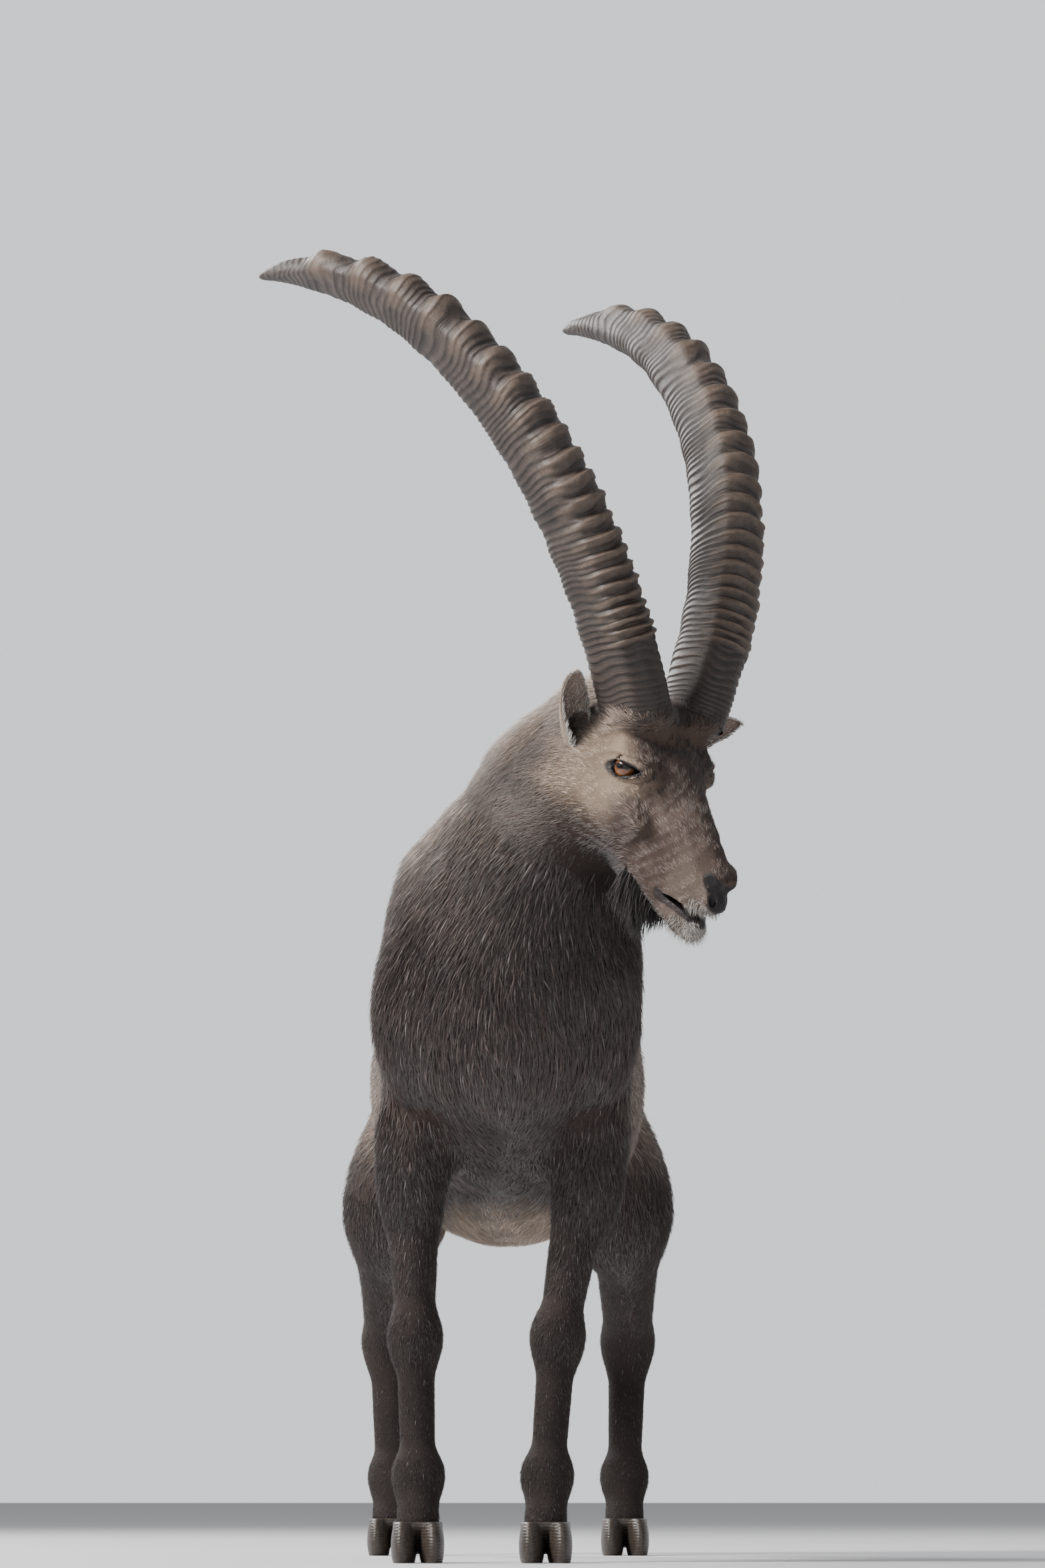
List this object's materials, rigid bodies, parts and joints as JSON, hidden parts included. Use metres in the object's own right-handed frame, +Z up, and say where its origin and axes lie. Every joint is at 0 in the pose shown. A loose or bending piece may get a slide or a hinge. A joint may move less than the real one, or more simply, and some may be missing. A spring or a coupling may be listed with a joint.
{
  "type": "alpine ibex figure",
  "caption": "Life-size standing male alpine ibex, head turned to its left, with long ridged horns curving back, cupped ears, short beard and cloven hooves.",
  "frame": {"origin": "centre of the bounding box's bottom, on the ground under the hooves", "axes": "+Z up, -Y the way the body faces, +X the animal's left"},
  "size_m": [0.5742, 1.2608, 1.4778],
  "materials": {
    "coat": "short dense grey-brown coat",
    "coat_dark": "short dark brown coat",
    "horn": "matt grey-brown horn",
    "hoof": "satin dark horn",
    "eye": "wet gloss"
  },
  "bodies": {
    "root": {"ear_left": "coat", "ear_right": "coat", "eye_left": "eye", "eye_right": "eye", "foreleg_left_hoof": "hoof", "foreleg_left_lower": "coat_dark", "foreleg_left_upper": "coat_dark", "foreleg_right_hoof": "hoof", "foreleg_right_lower": "coat_dark", "foreleg_right_upper": "coat_dark", "head": "coat", "hindleg_left_hoof": "hoof", "hindleg_left_lower": "coat_dark", "hindleg_left_upper": "coat_dark", "hindleg_right_hoof": "hoof", "hindleg_right_lower": "coat_dark", "hindleg_right_upper": "coat_dark", "horn_left": "horn", "horn_right": "horn", "neck": "coat", "tail": "coat_dark", "torso": "coat"}
  },
  "joints": []
}
